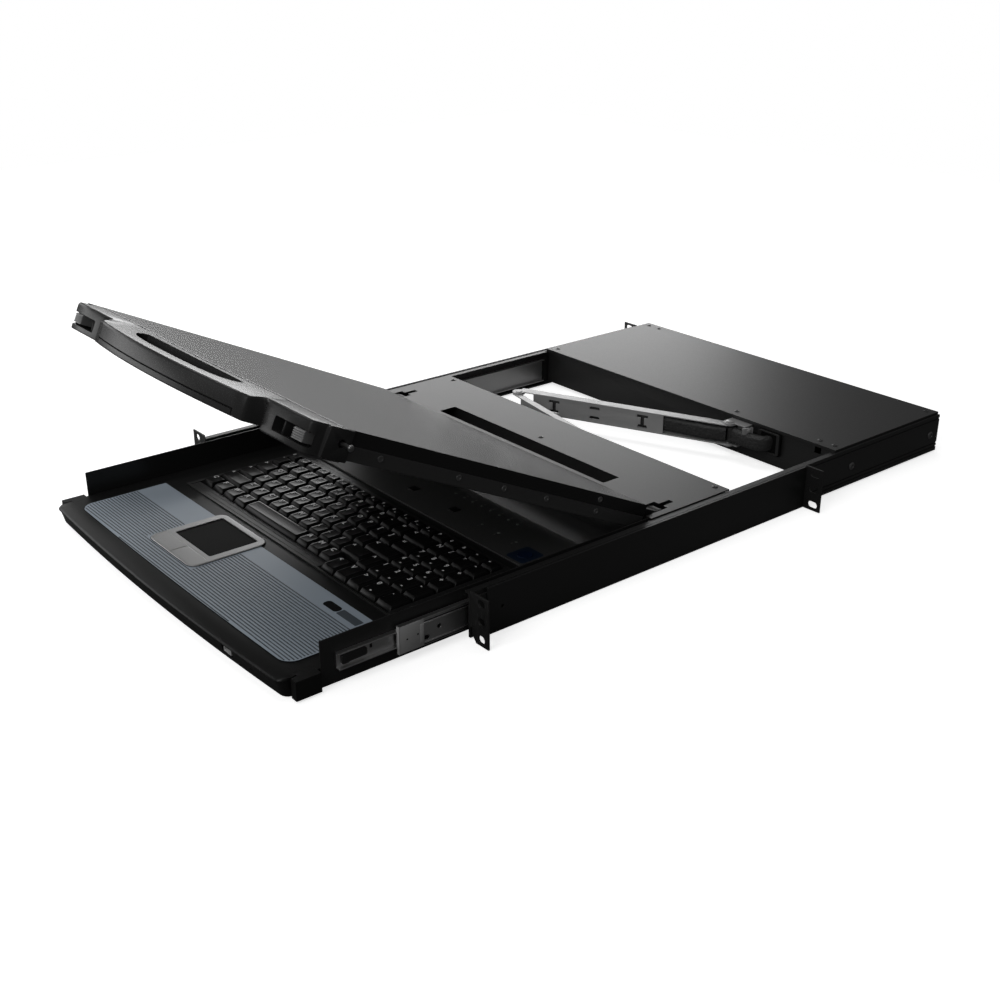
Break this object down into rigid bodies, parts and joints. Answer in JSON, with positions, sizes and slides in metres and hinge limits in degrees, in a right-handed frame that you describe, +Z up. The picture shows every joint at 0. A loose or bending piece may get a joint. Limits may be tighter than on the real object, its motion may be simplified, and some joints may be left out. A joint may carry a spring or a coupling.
{
  "type": "rackmount kvm console",
  "caption": "One-unit rack drawer with keyboard, touchpad and folding display lid on telescopic slides, with a switch box and folding cable arm behind it.",
  "frame": {"origin": "middle of the front ear holes, on the front face of the rack ears", "axes": "+X to the user's right, +Y into the rack, +Z up"},
  "size_m": [0.4826, 0.8161, 0.2165],
  "materials": {
    "black_steel": "fine satin powder coat",
    "slide_steel": "bright zinc plate",
    "bracket_steel": "zinc plate",
    "arm_metal": "plain, slightly brushed",
    "screw_steel": "plated",
    "cable_sleeve": "braided",
    "black_plastic": "fine texture",
    "key_plastic": "fine texture",
    "palm_film": "fine ribs",
    "silver_plastic": "silver paint",
    "touch_surface": "smooth",
    "blue_button": "lit from inside",
    "lens": "frosted",
    "circuit_board": "solder mask",
    "socket_metal": "plated shell",
    "display": "dark panel in a metal case"
  },
  "bodies": {
    "chassis": {"rails": "black_steel", "front_ears": "black_steel", "slide_outers": "slide_steel", "box_tray": "black_steel", "box_cover": "black_steel", "rear_panel": "black_steel", "main_board": "circuit_board", "power_supply": "circuit_board", "power_inlet": "black_plastic", "port_sockets": "socket_metal", "cable_bush": "black_plastic", "arm_bracket": "bracket_steel", "chassis_screws": "screw_steel", "cable_fixed": "cable_sleeve"},
    "rear_bracket_right": {"rear_bracket_right": "black_steel"},
    "rear_bracket_left": {"rear_bracket_left": "black_steel"},
    "slide_middle_right": {"slide_middle_right": "slide_steel"},
    "slide_middle_left": {"slide_middle_left": "slide_steel"},
    "rear_arm": {"rear_arm": "arm_metal", "cable_rear": "cable_sleeve"},
    "front_arm": {"front_arm": "arm_metal", "cable_front": "cable_sleeve"},
    "power_switch": {"power_switch": "black_plastic"},
    "drawer": {"slide_inners": "slide_steel", "drawer_pan": "black_steel", "front_bezel": "black_plastic", "deck": "black_steel", "palm_panel": "palm_film", "touchpad_bezel": "silver_plastic", "touchpad": "touch_surface", "keyboard_case": "black_plastic", "control_panel": "black_plastic", "indicator_lenses": "lens", "usb_socket": "socket_metal", "control_board": "circuit_board", "rear_plate": "black_steel", "arm_anchor": "bracket_steel", "hinge_bases": "bracket_steel", "drawer_screws": "screw_steel"},
    "slide_lever_right": {"slide_lever_right": "black_plastic"},
    "slide_lever_left": {"slide_lever_left": "black_plastic"},
    "lid": {"lid_cover": "black_steel", "lid_frame": "black_plastic", "display_module": "display", "handle": "black_plastic", "hinge_arms": "bracket_steel", "lid_screws": "screw_steel"},
    "latch_right": {"latch_right": "silver_plastic"},
    "latch_left": {"latch_left": "silver_plastic"},
    "touchpad_button_left": {"touchpad_button_left": "silver_plastic"},
    "touchpad_button_right": {"touchpad_button_right": "silver_plastic"},
    "port_button_up": {"port_button_up": "black_plastic"},
    "port_button_down": {"port_button_down": "black_plastic"},
    "power_button": {"power_button": "blue_button"},
    "keys_function": {"keys_function": "key_plastic"},
    "keys_number": {"keys_number": "key_plastic"},
    "keys_tab": {"keys_tab": "key_plastic"},
    "keys_home": {"keys_home": "key_plastic"},
    "keys_shift": {"keys_shift": "key_plastic"},
    "keys_bottom": {"keys_bottom": "key_plastic"}
  },
  "joints": [
    {"name": "drawer_slide", "type": "slide", "parent": "chassis", "child": "drawer", "axis": [0, 1, 0], "range_m": [-0.24, 0.14]},
    {"name": "middle_slide_right", "type": "slide", "parent": "chassis", "child": "slide_middle_right", "axis": [0, 1, 0], "range_m": [-0.1235, 0.0721]},
    {"name": "middle_slide_left", "type": "slide", "parent": "chassis", "child": "slide_middle_left", "axis": [0, 1, 0], "range_m": [-0.1235, 0.0721]},
    {"name": "rear_bracket_right_slide", "type": "slide", "parent": "chassis", "child": "rear_bracket_right", "axis": [0, 1, 0], "range_m": [0, 0.15]},
    {"name": "rear_bracket_left_slide", "type": "slide", "parent": "chassis", "child": "rear_bracket_left", "axis": [0, 1, 0], "range_m": [-0.15, 0.06]},
    {"name": "rear_arm_hinge", "type": "hinge", "parent": "chassis", "child": "rear_arm", "pos_m": [0.0879, 0.453, 0.00615], "axis": [0, 0, 1], "range_deg": [-15.5, 26.5]},
    {"name": "front_arm_hinge", "type": "hinge", "parent": "rear_arm", "child": "front_arm", "pos_m": [-0.13047, 0.34609, 0.00615], "axis": [0, 0, 1], "range_deg": [-57.7, 33.7]},
    {"name": "power_switch_rocker", "type": "hinge", "parent": "chassis", "child": "power_switch", "pos_m": [0.148, 0.6306, 0.00215], "axis": [1, 0, 0], "range_deg": [-16, 0]},
    {"name": "slide_lever_right_hinge", "type": "hinge", "parent": "drawer", "child": "slide_lever_right", "pos_m": [0.2097, -0.0952, -0.00105], "axis": [1, 0, 0], "range_deg": [0, 6], "stiffness_Nm_per_rad": 0.15, "springref_deg": 5.73},
    {"name": "slide_lever_left_hinge", "type": "hinge", "parent": "drawer", "child": "slide_lever_left", "pos_m": [-0.2097, -0.0952, -0.00105], "axis": [1, 0, 0], "range_deg": [0, 6], "stiffness_Nm_per_rad": 0.15, "springref_deg": 5.73},
    {"name": "lid_hinge", "type": "hinge", "parent": "drawer", "child": "lid", "pos_m": [0, 0.2306, 0.01415], "axis": [-1, 0, 0], "range_deg": [-25.1, 84.6]},
    {"name": "latch_right_slide", "type": "slide", "parent": "lid", "child": "latch_right", "axis": [-1, 0, 0], "range_m": [0, 0.015], "stiffness_N_per_m": 200, "springref_m": -0.012},
    {"name": "latch_left_slide", "type": "slide", "parent": "lid", "child": "latch_left", "axis": [1, 0, 0], "range_m": [0, 0.015], "stiffness_N_per_m": 200, "springref_m": -0.012},
    {"name": "touchpad_button_left_press", "type": "slide", "parent": "drawer", "child": "touchpad_button_left", "axis": [0, 0, -1], "range_m": [0, 0.0006], "stiffness_N_per_m": 600, "springref_m": -0.001},
    {"name": "touchpad_button_right_press", "type": "slide", "parent": "drawer", "child": "touchpad_button_right", "axis": [0, 0, -1], "range_m": [0, 0.0006], "stiffness_N_per_m": 600, "springref_m": -0.001},
    {"name": "port_button_up_press", "type": "slide", "parent": "drawer", "child": "port_button_up", "axis": [0, 0, -1], "range_m": [0, 0.0008], "stiffness_N_per_m": 600, "springref_m": -0.001},
    {"name": "port_button_down_press", "type": "slide", "parent": "drawer", "child": "port_button_down", "axis": [0, 0, -1], "range_m": [0, 0.0008], "stiffness_N_per_m": 600, "springref_m": -0.001},
    {"name": "power_button_press", "type": "slide", "parent": "drawer", "child": "power_button", "axis": [0, 0, -1], "range_m": [0, 0.0008], "stiffness_N_per_m": 600, "springref_m": -0.001},
    {"name": "keys_function_press", "type": "slide", "parent": "drawer", "child": "keys_function", "axis": [0, 0, -1], "range_m": [0, 0.0024], "stiffness_N_per_m": 400, "springref_m": -0.003},
    {"name": "keys_number_press", "type": "slide", "parent": "drawer", "child": "keys_number", "axis": [0, 0, -1], "range_m": [0, 0.0024], "stiffness_N_per_m": 400, "springref_m": -0.003},
    {"name": "keys_tab_press", "type": "slide", "parent": "drawer", "child": "keys_tab", "axis": [0, 0, -1], "range_m": [0, 0.0024], "stiffness_N_per_m": 400, "springref_m": -0.003},
    {"name": "keys_home_press", "type": "slide", "parent": "drawer", "child": "keys_home", "axis": [0, 0, -1], "range_m": [0, 0.0024], "stiffness_N_per_m": 400, "springref_m": -0.003},
    {"name": "keys_shift_press", "type": "slide", "parent": "drawer", "child": "keys_shift", "axis": [0, 0, -1], "range_m": [0, 0.0024], "stiffness_N_per_m": 400, "springref_m": -0.003},
    {"name": "keys_bottom_press", "type": "slide", "parent": "drawer", "child": "keys_bottom", "axis": [0, 0, -1], "range_m": [0, 0.0024], "stiffness_N_per_m": 400, "springref_m": -0.003}
  ],
  "couplings": [
    {"joint": "middle_slide_right", "follows": "drawer_slide", "ratio": 0.514},
    {"joint": "middle_slide_left", "follows": "drawer_slide", "ratio": 0.514},
    {"joint": "rear_arm_hinge", "follows": "drawer_slide", "rad_per_m": -1.92},
    {"joint": "front_arm_hinge", "follows": "drawer_slide", "rad_per_m": 4.189}
  ]
}
